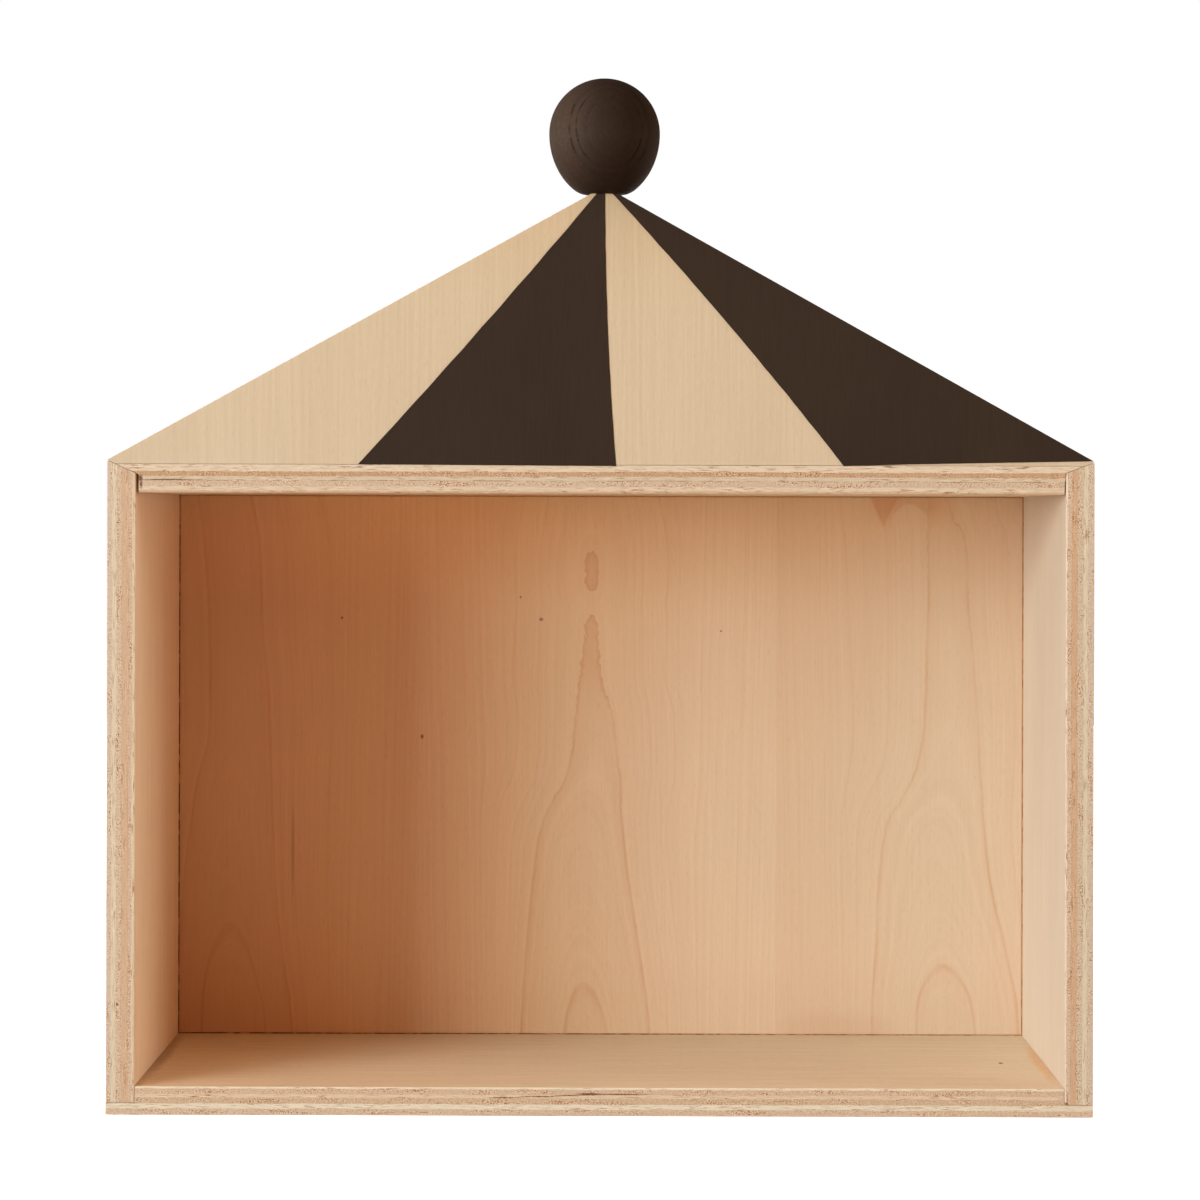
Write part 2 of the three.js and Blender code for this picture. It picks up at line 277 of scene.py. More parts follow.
LEAF_SEAMS = (-81.1, 78.2)  # mm along X
LEAVES = (
    {
        "axis": -163.4,
        "main": 26.8,
        "lift": [
            (0, 3.4), (13, 4.2), (26.7, 6.8), (40.3, 10.6), (51.7, 13.4), (62.5, 15.3),
            (90.2, 17.8), (98.7, 18.6), (122.2, 20.5), (135.3, 21.9), (144.5, 22.7), (172, 23.3),
            (190.2, 23.8), (234.8, 23.6), (256, 23.8),
        ],
        "lean": [
            (0, 0), (13, -0.2), (26.7, -0.8), (40.3, -1.65), (62.5, -2.05), (90.2, -1.95),
            (98.7, -1.45), (122.2, -0.3), (135.3, 1.05), (144.5, 2.05), (172, 1.7), (190.2, 0.55),
            (212.5, -0.3), (234.8, -1.75), (253, -4.5), (256, -4.9),
        ],
    },
    {
        "axis": -4.2,
        "main": 30.0,
        "lift": [
            (0, 6.2), (13, 7.9), (27, 10.95), (44, 14.7), (80, 20.8), (102, 23.25), (118, 25.75),
            (132, 27.7), (156, 28.8), (172, 29.55), (190, 29.82), (201, 30.0), (206, 30.35),
            (212, 30.0), (221, 29.84), (230, 30.0), (240, 30.8), (256, 32.5),
        ],
        "lean": [
            (0, -2.4), (13, -2.45), (44, -3.45), (80, -4.6), (102, -4.35), (118, -1.9), (132, 1.05),
            (156, 1.2), (172, -0.55), (190, -0.25), (256, 0),
        ],
    },
    {
        "axis": 154.7,
        "main": 33.0,
        "lift": [
            (0, 0.5), (15, 3), (43.7, 13.9), (56, 17.2), (84, 22), (105, 24.4), (119, 27.4),
            (132, 29.7), (135.5, 29.9), (144.5, 30.4), (163, 30.9), (181, 31.2), (208, 31.7),
            (231, 31.8), (240, 32.07), (244, 32.4), (249, 32.6), (256, 32.8),
        ],
        "lean": [
            (0, -0.3), (15, -0.7), (56, -3.2), (84, -5.55), (105, -5.45), (119, -2.45), (132, 0.15),
            (135.5, 0.5), (144.5, 1.2), (163, 1.35), (181, 0.95), (208, 0.15), (231, -0.3),
            (240, -1.2), (244, -2.95), (249, -3.75), (256, -4.9),
        ],
    },
)
FIGURE_SCALE, FIGURE_SHIFT = 1.0153, -0.7  # from Z in mm to the height where a line was measured
ARCH_FADE = (26.0, 58.0)  # mm from a leaf's middle, where the arches give way to straight lines
OUTER_LEAN, OUTER_SHIFT = -0.022, 2.9  # the straight lines lean away from the middle as they rise
CURVE_TALL = 256.0  # the curves' reach along Z, mm
LIFT_REACH = 40.0  # a curve's height is a share of this, mm
LEAN_REACH = 20.0  # and its lean is a share of this, from -10 mm to 10 mm
# Distance from a leaf's middle, as a share of its main line's, and how dark the wood is there
OUTER_LINES = (
    (0.80, 0.5), (1.14, 0.48),
    (1.245, 0.52), (1.256, 0.74), (1.266, 0.48), (1.44, 0.51), (1.449, 0.72), (1.458, 0.49),
    (1.66, 0.52), (1.670, 0.76), (1.680, 0.49), (1.86, 0.51), (1.868, 0.68), (1.876, 0.49),
    (2.20, 0.51), (2.208, 0.66), (2.216, 0.49), (2.667, 0.5),
)
FIGURE_LINES = ((0.0, 0.52), (0.37, 0.53), (0.41, 0.95), (0.426, 0.5), *OUTER_LINES)
LEFT_LINES = ((0.0, 0.52), (0.52, 0.53), (0.56, 1.0), (0.58, 0.5), *OUTER_LINES)
FIGURE_REACH = 2.667
# How dark the wood is at a distance in mm outside the main line
MAIN_LINE = ((-12, 0.5), (-4, 0.55), (-1.5, 0.61), (-0.6, 0.86), (-0.15, 1.0), (0.35, 0.46), (4, 0.5))
LATEWOOD = "#CC7F38"
# Painted shade on the rear panel, as tints by mm along X and up Z: the wood is redder to the left,
# where the left board's shadow falls, lifted at that shadow's edge, and redder in the upper third, under
# the top board's shade, lifted again just under the board.
PAINTED_SHADE_ACROSS = (
    (-188, "#E4D8B8"), (-150, "#F3E9CB"), (-120, "#F6F3D6"), (-105, "#FCFBDE"), (-84, "#FFFFE5"),
    (-64, "#F7EEC9"), (-44, "#F5F0D1"), (-20, "#F1F3DB"), (48, "#EEF8EF"), (148, "#F2FFFF"),
    (188, "#EFF8FA"),
)
PAINTED_SHADE_UP = (
    (0, "#F8F5F2"), (27, "#FBF8F6"), (45, "#FEFDFD"), (98, "#FEFFFF"), (134, "#FEFEFE"),
    (170, "#F8F5F1"), (190, "#F4EFE7"), (206, "#F2EADF"), (223, "#F6ECDD"), (241, "#FFF2E0"),
    (250, "#FFF4E0"),
)
TONGUE = (126.1, 239.0, 0.47)  # X and Z of its point in mm, and its slope
HOOP = (137.6, 240.6, 8.0)  # X, Z and radius in mm
# Two darker patches: a broad one at the panel's foot by the floor, and a small one in its upper left
# corner
DARKER_PATCHES = ((105, 14, 28, 9), (-181.6, 246.6, 1.6, 1.4))
STREAKS = ((-137.4, 94.0, 0.75, 20.0),)
PIN_KNOTS = (
    (-26.8, 196.8, 1.0, 0.8),
    (-79.8, 144.4, 0.75, 1.1),
    (-115.7, 197.3, 0.6, 0.7),
    (53.5, 191.8, 0.5, 0.5),
    (-36.0, 206.7, 0.5, 0.6),
)


def arched_figure(tree, place):
    """Where a point lies in its leaf's arches, in mm, and what darkens the lines there."""
    bent = strayed(tree, place, streaks(tree, place, (14, 14, 60), 31), (0.9, 0, 6))
    spot = add(tree, "SeparateXYZ", bent)
    x = add(tree, "Math", spot.outputs[X], 1 / MM, operation="MULTIPLY")
    z = add(tree, "Math", spot.outputs[Z], FIGURE_SCALE / MM, FIGURE_SHIFT, operation="MULTIPLY_ADD")
    up = add(tree, "Math", z, CURVE_TALL, operation="DIVIDE", use_clamp=True)
    middle, lift, lean, main = None, None, None, None
    for leaf, seam in zip(LEAVES, (None, *LEAF_SEAMS)):
        lifts = [(a / CURVE_TALL, h / LIFT_REACH) for a, h in leaf["lift"]]
        leans = [(a / CURVE_TALL, 0.5 + s / LEAN_REACH) for a, s in leaf["lean"]]
        rise = add(tree, "FloatCurve", Value=up, curve=lifts)
        tilt = add(tree, "FloatCurve", Value=up, curve=leans)
        if seam is None:
            middle, lift, lean, main = leaf["axis"], rise, tilt, leaf["main"]
        else:
            past = add(tree, "Math", x, seam, operation="GREATER_THAN")
            middle = add(tree, "Mix", past, middle, leaf["axis"])
            main = add(tree, "Mix", past, main, leaf["main"])
            lift = add(tree, "Mix", past, lift, rise)
            lean = add(tree, "Mix", past, lean, tilt)
    off = add(tree, "Math", x, middle, operation="SUBTRACT")
    far = add(tree, "Math", off, operation="ABSOLUTE")
    hold = add(tree, "MapRange", far, *ARCH_FADE, 1.0, 0.0, interpolation_type="SMOOTHSTEP")
    shift = add(tree, "Math", lean, LEAN_REACH, -0.5 * LEAN_REACH, operation="MULTIPLY_ADD")
    shift = add(tree, "Math", shift, hold, operation="MULTIPLY")
    side = add(tree, "Math", off, shift, operation="SUBTRACT")
    height = add(tree, "Math", lift, LIFT_REACH, operation="MULTIPLY")
    height = add(tree, "Math", height, height, operation="MULTIPLY")
    height = add(tree, "Math", height, hold, operation="MULTIPLY")
    squared = add(tree, "Math", side, side, height, operation="MULTIPLY_ADD")
    main_squared = add(tree, "Math", main, main, operation="MULTIPLY")
    half = add(tree, "Math", main_squared, height, operation="SUBTRACT")
    half = add(tree, "Math", add(tree, "Math", half, 0.0, operation="MAXIMUM"), operation="SQRT")
    wide = add(tree, "Math", add(tree, "Math", side, operation="ABSOLUTE"), half, operation="ADD")
    beyond = add(tree, "Math", squared, main_squared, operation="SUBTRACT")
    wide = add(tree, "Math", wide, 1.0, operation="ADD")
    beyond = add(tree, "Math", beyond, wide, operation="DIVIDE")
    ragged = add(tree, "Math", streaks(tree, place, (1.8, 4, 3.2), 43, 3.0), -0.5, operation="ADD")
    rough = add(tree, "MapRange", half, 0.0, 12.0, 5.0, 0.8)
    ragged = add(tree, "Math", ragged, rough, operation="MULTIPLY")
    beyond = add(tree, "Math", beyond, ragged, operation="ADD")
    reach = add(tree, "Math", squared, operation="SQRT")
    outward = add(tree, "Math", 1.0, hold, operation="SUBTRACT")
    leaning = add(tree, "Math", z, OUTER_LEAN, OUTER_SHIFT, operation="MULTIPLY_ADD")
    reach = add(tree, "Math", outward, leaning, reach, operation="MULTIPLY_ADD")
    share = add(tree, "Math", reach, main, operation="DIVIDE")

    def darken(colour):
        along = add(tree, "Math", share, FIGURE_REACH, operation="DIVIDE")
        first, others = (
            add(tree, "ValToRGB", along, stops=[(a / FIGURE_REACH, d) for a, d in lines])
            for lines in (LEFT_LINES, FIGURE_LINES)
        )
        past_first = add(tree, "Math", x, LEAF_SEAMS[0], operation="GREATER_THAN")
        lines = add(tree, "Mix", past_first, first, others)
        lines = total(tree, lines, (graded(tree, beyond, MAIN_LINE), 1.0))
        fade = streaks(tree, place, (9, 9, 28), 41)
        weight = add(tree, "MapRange", fade, 0.35, 0.65, 0.4, 1.0)
        above = add(tree, "Math", lines, -0.5, operation="ADD")
        depth = add(tree, "Math", above, weight, operation="MULTIPLY")
        most = add(tree, "Mix", past_first, 0.85, 1.05)
        darker = add(tree, "Math", depth, most, operation="MULTIPLY", use_clamp=True)
        colour = add(tree, "Mix", darker, colour, LATEWOOD, data_type="RGBA")
        lighter = add(tree, "Math", depth, -0.8, operation="MULTIPLY", use_clamp=True)
        colour = add(tree, "Mix", lighter, colour, "#F3CEA8", data_type="RGBA")
        # The right leaf is a little browner, and two more arches end on it beside the main one.
        past = add(tree, "Math", x, LEAF_SEAMS[1], operation="GREATER_THAN")
        browner = add(tree, "Math", past, 0.16, operation="MULTIPLY")
        colour = add(tree, "Mix", browner, colour, "#C8915E", data_type="RGBA")
        # Where an arch grows narrow it is brown all over.
        narrow = add(tree, "MapRange", half, 0.0, 8.0, 0.42, 0.0)
        within = add(tree, "Math", beyond, 0.0, operation="LESS_THAN")
        before = add(tree, "Math", 1.0, past, operation="SUBTRACT")
        narrow = add(tree, "Math", narrow, within, operation="MULTIPLY")
        narrow = add(tree, "Math", narrow, before, operation="MULTIPLY")
        colour = add(tree, "Mix", narrow, colour, LATEWOOD, data_type="RGBA")
        colour = add(tree, "Mix", tongue(bent, *TONGUE), colour, LATEWOOD, data_type="RGBA")
        colour = add(tree, "Mix", over_hoop(bent, *HOOP), colour, LATEWOOD, data_type="RGBA")
        # Painted shade of the left board and the top board, with painted light at their edges, as tints
        # across and up the panel
        colour = tinted(tree, colour, x, PAINTED_SHADE_ACROSS)
        colour = tinted(tree, colour, z, PAINTED_SHADE_UP)
        colour = marked(tree, bent, colour, Z, DARKER_PATCHES, "#B98654", 0.22)
        colour = marked(tree, place, colour, Z, STREAKS, "#8A4A1E", 0.35)
        return marked(tree, place, colour, Z, PIN_KNOTS, "#7E3800", 0.95)

    def tongue(at, x_tip, z_tip, slope):
        """A dark point that hangs down, darkest along its border."""
        spot = add(tree, "SeparateXYZ", at)
        aside = add(tree, "Math", spot.outputs[X], -x_tip * MM, operation="ADD")
        aside = add(tree, "Math", aside, operation="ABSOLUTE")
        over = add(tree, "Math", spot.outputs[Z], -z_tip * MM, operation="ADD")
        inside = add(tree, "Math", over, slope, operation="MULTIPLY")
        inside = add(tree, "Math", inside, aside, operation="SUBTRACT")
        within = add(tree, "Math", inside, 1 / (6 * MM), 0.1, operation="MULTIPLY_ADD", use_clamp=True)
        return add(tree, "ValToRGB", within, stops=((0.0, 0.0), (0.2, 0.46), (0.4, 0.38), (1.0, 0.32)))

    def over_hoop(at, x_mid, z_mid, radius):
        """Brown wood under the top board, down to the round end of a pale arch."""
        spot = add(tree, "SeparateXYZ", at)
        aside = add(tree, "Math", spot.outputs[X], -x_mid * MM, operation="ADD")
        over = add(tree, "Math", spot.outputs[Z], -z_mid * MM, operation="ADD")
        above = add(tree, "Math", over, 0.0, operation="MAXIMUM")
        off_middle = add(tree, "CombineXYZ", aside, above)
        far = add(tree, "VectorMath", off_middle, operation="LENGTH").outputs["Value"]
        outside = add(tree, "MapRange", far, (radius - 0.7) * MM, (radius + 0.5) * MM, 0.0, 0.36)
        beside = add(tree, "Math", aside, operation="ABSOLUTE")
        beside = add(tree, "MapRange", beside, (radius + 3) * MM, (radius + 14) * MM, 1.0, 0.0)
        high = add(tree, "MapRange", over, -4 * MM, 6 * MM, 0.0, 1.0)
        brown = add(tree, "Math", outside, beside, operation="MULTIPLY")
        return add(tree, "Math", brown, high, operation="MULTIPLY")

    return reach, darken


# Plywood seen from its edge

FORWARD = 0.6  # a face looks forward or back where its normal's Y passes this
GLUE = "#7C4C2E"
PALE_PLY = "#E3CDAE"
TAN_PLY = "#CFB193"


def ply_edge(name, plies, thick, along, start, inward, seed, marks=()):
    """Sanded edge of birch plywood. Plies whose fibres run away from the edge show speckled end
    grain and look darker; the others show long pale fibres. Thin brown glue lines lie between.
    The specks are drawn coarser than real, so that they show. Marks lie on the front only."""
    material, tree, shader, place = begin(name, 0.75, specular=0.3)
    total_thick = sum(ply[0] for ply in plies)
    pattern = with_grain(tree, place, along, seed)
    wave = pattern(42, 42, 0)
    ragged = pattern(0.6, 1.1, 2, 2.0, 0.6)
    spot = add(tree, "SeparateXYZ", place)
    depth = add(tree, "Math", spot.outputs[thick], inward / MM, -start * inward, operation="MULTIPLY_ADD")
    depth = total(tree, depth, (wave, 0.9), (ragged, 0.6))
    share = add(tree, "Math", depth, total_thick, operation="DIVIDE")

    places, reach = [], 0.0
    for ply in plies:
        places.append((reach / total_thick, (reach + ply[0]) / total_thick))
        reach += ply[0]
    soft, line = 0.007, 0.018  # half of a soft border and of a glue line, as shares of the whole
    colours, ends, seams = [], [], [(0.0, 0.0)]
    for (low, high), (_, colour, end, glue) in zip(places, plies):
        colours += [(low + soft, colour), (high - soft, colour)]
        ends += [(low + soft, end), (high - soft, end)]
        if glue:
            seams += [(high - line, 0.0), (high, glue), (high + line, 0.0)]
    front = add(tree, "ValToRGB", share, stops=colours)
    end_front = add(tree, "ValToRGB", share, stops=ends)
    glue_line = add(tree, "ValToRGB", share, stops=seams)

    # Plies lie crosswise, so an edge at a right angle to the front shows them the other way round.
    turn = add(tree, "SeparateXYZ", add(tree, "NewGeometry").outputs["True Normal"])
    facing = add(tree, "Math", turn.outputs[Y], operation="ABSOLUTE")
    facing = add(tree, "Math", facing, FORWARD, operation="GREATER_THAN")
    end_side = add(tree, "Math", 1.0, end_front, operation="SUBTRACT")
    side = add(tree, "Mix", end_side, PALE_PLY, TAN_PLY, data_type="RGBA")
    colour = add(tree, "Mix", facing, side, front, data_type="RGBA")
    end = add(tree, "Mix", facing, end_side, end_front)

    fibres = pattern(0.4, 6.0, 4, 3.0, 0.65)
    pores = pattern(0.45, 0.65, 5, 1.0, 0.7)
    speck = add(tree, "Mix", end, fibres, pores)
    patch = pattern(2.6, 17.0, 8, 3.0, 0.6)
    mottled = add(tree, "MapRange", patch, 0.48, 0.66, 0.35, 1.5)
    strength = add(tree, "MapRange", end, 0.0, 1.0, 0.85, 1.0)
    strength = add(tree, "Math", strength, mottled, operation="MULTIPLY")
    for low, high, most, tint in ((0.52, 0.63, 0.95, "#96683F"), (0.48, 0.36, 0.55, "#F3E6CE")):
        mark = add(tree, "MapRange", speck, low, high, 0.0, most)
        mark = add(tree, "Math", mark, strength, operation="MULTIPLY")
        colour = add(tree, "Mix", mark, colour, tint, data_type="RGBA")
    warm = add(tree, "MapRange", patch, 0.56, 0.74, 0.0, 0.45)
    warm = add(tree, "Math", warm, end, operation="MULTIPLY")
    colour = add(tree, "Mix", warm, colour, "#B9865A", data_type="RGBA")
    broken = pattern(2.0, 8.0, 9, 3.0, 0.6)
    broken = add(tree, "MapRange", broken, 0.42, 0.60, 0.0, 1.0)
    seam = add(tree, "Math", glue_line, broken, operation="MULTIPLY")
    colour = add(tree, "Mix", seam, colour, GLUE, data_type="RGBA")
    gaps = pattern(0.9, 4.0, 12)
    gaps = add(tree, "MapRange", gaps, 0.73, 0.80, 0.0, 0.75)
    colour = add(tree, "Mix", gaps, colour, "#6E4428", data_type="RGBA")
    if marks:
        rough = strayed(tree, place, pores, (1.6, 1.6, 0.8))
        stained = marked(tree, rough, colour, Z, marks, "#66300C", 0.9)
        front_only = add(tree, "Math", turn.outputs[Y], -FORWARD, operation="LESS_THAN")
        colour = add(tree, "Mix", front_only, colour, stained, data_type="RGBA")
    cover(tree, shader, colour, speck, 0.05)
    return material


# Plies from the outer face inwards: thickness in mm, colour, share of end grain on the front
# edge, and how dark the glue line under it is
LEFT_PLIES = (
    (2.0, "#D0C2AE", 0.8, 0.1),
    (2.0, "#D9CFB7", 0.0, 0.05),
    (2.1, "#D0BFA4", 1.0, 0.25),
    (2.8, "#CEB295", 0.35, 0.35),
    (1.3, "#CFB99F", 0.9, 0.0),
    (1.4, "#D9CBAF", 0.0, 0.0),
)
RIGHT_PLIES = (
    (2.6, "#CEC1AD", 0.8, 0.1),
    (1.8, "#D7D0B7", 0.0, 0.05),
    (2.4, "#CCC0A6", 1.0, 0.3),
    (2.4, "#CCAD8D", 0.4, 0.35),
    (1.6, "#D0BDA5", 0.9, 0.0),
    (0.8, "#E3D9C3", 0.0, 0.0),
)
TOP_PLIES = (
    (2.8, "#DDD0B7", 0.0, 0.1),
    (1.95, "#C0A07D", 1.0, 0.1),
    (1.7, "#D1C5AC", 0.0, 0.9),
    (2.35, "#CDBBA0", 1.0, 0.1),
    (1.8, "#D8CAB2", 0.0, 0.0),
    (1.0, "#CCB08D", 0.3, 0.0),
)
BOTTOM_PLIES = (
    (0.9, "#E1DAC3", 0.0, 0.0),
    (2.1, "#CFB89D", 0.9, 0.1),
    (1.5, "#D9C8AC", 0.1, 0.05),
    (2.35, "#CAB497", 1.0, 0.25),
    (2.15, "#DFDAC4", 0.0, 0.1),
    (2.1, "#CFBCA2", 0.9, 0.0),
    (0.5, "#DFCDBA", 0.0, 0.0),
)
PANEL_PLIES = (
    (0.9, "#E4CCAE", 0.0, 0.0),
    (2.2, "#D2B698", 1.0, 0.15),
    (2.1, "#E2CCB0", 0.0, 0.1),
    (2.2, "#CCAC8F", 1.0, 0.2),
    (2.1, "#E0C8AA", 0.0, 0.1),
    (2.1, "#CFB096", 0.9, 0.0),
)


# Splintered ends of the top board beside its left shoulder, a long crack in the bottom board and a
# dark speck on each side, as X and Z in mm with half the width and half the height
NOTCH_STAINS = (
    (-186.5, 258.0, 1.0, 1.5),
    (-186.2, 255.4, 0.6, 1.7),
    (-176.0, 257.5, 11.0, 0.3),
)
CRACK = (
    (-38.0, 7.4, 8.0, 0.22),
    (-24.0, 7.9, 9.0, 0.24),
    (-13.0, 8.4, 6.0, 0.26),
    (-4.0, 8.95, 5.5, 0.55),
    (9.0, 8.9, 12.0, 0.28),
)

LEFT_SPECK = ((-195.4, 44.7, 0.6, 0.5),)
RIGHT_SPECK = ((189.2, 5.7, 0.8, 0.6),)


# Paint, ball, dowels and metal


def matte_paint(name, deep, lifted, seed):
    """Matte water-based paint brushed on veneer: even and dark, with the grain just felt."""
    material, tree, shader, place = begin(name, 0.62, ior=1.45, specular=0.15)
    broad = streaks(tree, place, (45, 45, 60), seed)
    fibre = streaks(tree, place, (0.7, 0.7, 11), seed + 2, 3.0, 0.6)
    tone = total(tree, 0.5, (broad, 0.9), (fibre, 0.7))
    colour = add(tree, "Mix", tone, deep, lifted, data_type="RGBA")
    cover(tree, shader, colour, fibre, 0.03)
    return material


RING_MIDDLE = (3.0, 398.7)  # X and Z in mm of the line that the ball's growth rings go round
RING_REACH = 40.0
RING_FLAT = 0.85  # a ring's width as a share of its height
# Painted light and shade on the ball, as mm and a tint: lighter on its left, where the key lamp falls,
# darker to its right, by its foot and at its top
BALL_LIGHT_AND_SHADE_ACROSS = (
    (-22, "#FBFDFF"), (-14, "#F1EFEF"), (-6, "#CFCFD0"), (0, "#B2B5B4"), (10, "#989188"),
    (23, "#9A8A7C"),
)
BALL_SHADE_UP = ((374, "#C4BCBA"), (384, "#DDD7D5"), (396, "#F9FBFC"), (406, "#ECEAEA"), (421, "#DCDDE0"))
# How dark the latewood is at a distance from the rings' middle, as a share of their reach
RINGS = (
    (0.0, 0.0), (0.25, 0.0), (0.262, 0.35), (0.274, 0.0), (0.343, 0.0), (0.355, 0.9), (0.367, 0.0),
    (0.41, 0.0), (0.422, 0.9), (0.435, 0.0),
)


def turned_and_painted(name, deep, lifted, groove, seed):
    """Turned hardwood ball under thin matte paint. A few dark growth rings show through."""
    material, tree, shader, place = begin(name, 0.6, ior=1.45, specular=0.03)
    x, z = RING_MIDDLE
    middle, scale = [-x, 0, -RING_FLAT * z], [1 / MM, 0, RING_FLAT / MM]
    round_line = add(tree, "Mapping", place, Location=middle, Scale=scale)
    bend = streaks(tree, place, (16, 40, 16), seed)
    away = add(tree, "VectorMath", round_line, operation="LENGTH").outputs["Value"]
    away = add(tree, "Math", bend, 2.0, away, operation="MULTIPLY_ADD")
    rings = add(tree, "TexNoise", away, noise_dimensions="1D", Scale=0.5, Detail=2.0, Roughness=0.6)
    pores = streaks(tree, place, (1.2, 5, 1.2), seed + 2, 3.0, 0.7)
    tone = total(tree, 0.5, (rings, 0.5), (pores, 0.9))
    colour = add(tree, "Mix", tone, deep, lifted, data_type="RGBA")
    outward = add(tree, "Math", away, RING_REACH, operation="DIVIDE")
    late = add(tree, "ValToRGB", outward, stops=RINGS)
    broken = streaks(tree, place, (3.5, 9, 3.5), seed + 4, 2.0)
    broken = add(tree, "MapRange", broken, 0.4, 0.6, 0.1, 0.9)
    late = add(tree, "Math", late, broken, operation="MULTIPLY")
    sideways = add(tree, "SeparateXYZ", add(tree, "VectorMath", round_line, operation="NORMALIZE"))
    sideways = add(tree, "Math", sideways.outputs[X], operation="ABSOLUTE")
    sideways = add(tree, "MapRange", sideways, 0.5, 0.85, 0.1, 1.0)
    late = add(tree, "Math", late, sideways, operation="MULTIPLY")
    colour = add(tree, "Mix", late, colour, groove, data_type="RGBA")
    at = in_millimetres(tree, place)
    # Painted light on the ball's left, painted shade on its right, by its foot and at its top
    colour = tinted(tree, colour, at[X], BALL_LIGHT_AND_SHADE_ACROSS)
    colour = tinted(tree, colour, at[Z], BALL_SHADE_UP)
    cover(tree, shader, colour, total(tree, 0.5, (pores, 1.0), (late, -0.8)), 0.06)
    return material


def dowel_rod(name, pale, tan, seed):
    """Beech dowel, planed: straight pale fibres and the short dark flecks of beech."""
    material, tree, shader, place = begin(name, 0.65)
    fibre = streaks(tree, place, (0.4, 0.4, 9), seed, 2.0)
    fleck = streaks(tree, place, (0.35, 0.35, 1.6), seed + 2, 1.0)
    colour = add(tree, "Mix", total(tree, 0.5, (fibre, 1.2)), tan, pale, data_type="RGBA")
    cut = add(tree, "MapRange", fleck, 0.62, 0.74, 0.0, 0.5)
    colour = add(tree, "Mix", cut, colour, "#8F6238", data_type="RGBA")
    cover(tree, shader, colour, fibre, 0.03)
    return material


def zinc_plated(name, seed):
    """Zinc-plated pressed steel: a cool soft shine with faint rolling marks and cloudy patches."""
    material, tree, shader, place = begin(name, 0.36, metallic=1.0)
    cloud = streaks(tree, place, (3, 3, 3), seed)
    rolled = streaks(tree, place, (0.25, 0.25, 8), seed + 2, 2.0)
    tone = total(tree, 0.5, (cloud, 1.0), (rolled, 0.5))
    colour = add(tree, "Mix", tone, "#9EA3A8", "#C9CDD0", data_type="RGBA")
    dull = total(tree, 0.36, (cloud, 0.16), (rolled, 0.10))
    tree.links.new(dull.outputs[0], shader.inputs["Roughness"])
    cover(tree, shader, colour, rolled, 0.01)
    return material


# Pieces


def finish_piece(mesh_object, slot, *nodes):
    """Puts the piece on the shelf's one body, in place of its CAD nodes."""
    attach(mesh_object, "root")
    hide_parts(*nodes)
    return mesh_object


def new_object(name, data):
    """A new object in the scene."""
    made = bpy.data.objects.new(name, data)
    bpy.context.scene.collection.objects.link(made)
    return made


def object_from(name, working, materials, smooth=False):
    """A new object at the origin from a working mesh."""
    mesh = bpy.data.meshes.new(name)
    working.to_mesh(mesh)
    working.free()
    for material in materials:
        mesh.materials.append(material)
    if smooth:
        mesh.polygons.foreach_set("use_smooth", [True] * len(mesh.polygons))
        mesh.set_sharp_from_angle(angle=CREASE)
    return new_object(name, mesh)


def whole_faces(node):
    """A CAD node's mesh with its loose triangles joined into whole faces."""
    working = bmesh.new()
    working.from_mesh(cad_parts[node].data)
    bmesh.ops.remove_doubles(working, verts=working.verts, dist=WELD * MM)
    bmesh.ops.dissolve_limit(
        working, angle_limit=math.radians(0.2), verts=working.verts, edges=working.edges
    )
    return working


def neighbours(node):
    """The surfaces of every other CAD node, to find which edges lie against one."""
    trees = []
    for other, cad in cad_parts.items():
        if other != node and not other.startswith("paint_stripe"):
            mesh = cad.data
            points = [v.co for v in mesh.vertices]
            trees.append(BVHTree.FromPolygons(points, [list(p.vertices) for p in mesh.polygons]))
    return trees


def bevel(working, edges, width, clamped=False):
    """Rounds edges over by a width in mm."""
    bmesh.ops.bevel(
        working,
        geom=edges,
        offset=width * MM,
        segments=2,
        profile=0.5,
        affect="EDGES",
        clamp_overlap=clamped,
    )


def ease(working, node, width):
    """Sands the arrises that lie free, leaves the ones that meet a neighbour."""
    around = neighbours(node)
    free = []
    for edge in working.edges:
        short = edge.calc_length() < SHORT * MM
        if short or len(edge.link_faces) != 2 or edge.calc_face_angle(0) < SHARP:
            continue
        a, b = (v.co for v in edge.verts)
        spots = [a.lerp(b, share) for share in (0.3, 0.5, 0.7)]
        gaps = [tree.find_nearest(spot)[3] for tree in around for spot in spots]
        if min(gaps) > TOUCHING * MM:
            free.append(edge)
    bevel(working, free, width)


def close_joints(working, node):
    """Grows the faces that are glued to a neighbour. The sloping joints at the tips stay open by a
    hair."""
    around = neighbours(node)
    moves = []
    for face in working.faces:
        if max(abs(part) for part in face.normal) < ALONG_AXIS:
            continue
        middle = face.calc_center_median()
        if min(tree.find_nearest(middle)[3] for tree in around) < TOUCHING * MM:
            moves.append((list(face.verts), face.normal * JOINT_CLOSED * MM))
    for corners, step in moves:
        bmesh.ops.translate(working, verts=corners, vec=step)


def fray_shoulder(working):
    """Breaks the front corner of the top board's left shoulder into splinters."""
    at = min(v.co.x for v in working.verts if v.co.z < cad_low.z + SHOULDER_TOP * MM) / MM
    corner = [
        e
        for e in working.edges
        if all(abs(v.co.x / MM - at) < CORNER and v.co.y < cad_low.y + CORNER * MM for v in e.verts)
        and abs(e.verts[0].co.z - e.verts[1].co.z) > 5 * MM
    ]
    made = bmesh.ops.subdivide_edges(working, edges=corner, cuts=SPLINTERS)
    for vert in [v for v in made["geom_inner"] if isinstance(v, bmesh.types.BMVert)]:
        rough = noise.noise(Vector((0, SEED, vert.co.z / (SPLINTER_TALL * MM))))
        vert.co.x += (0.15 + SPLINTER_DEEP * rough) * MM


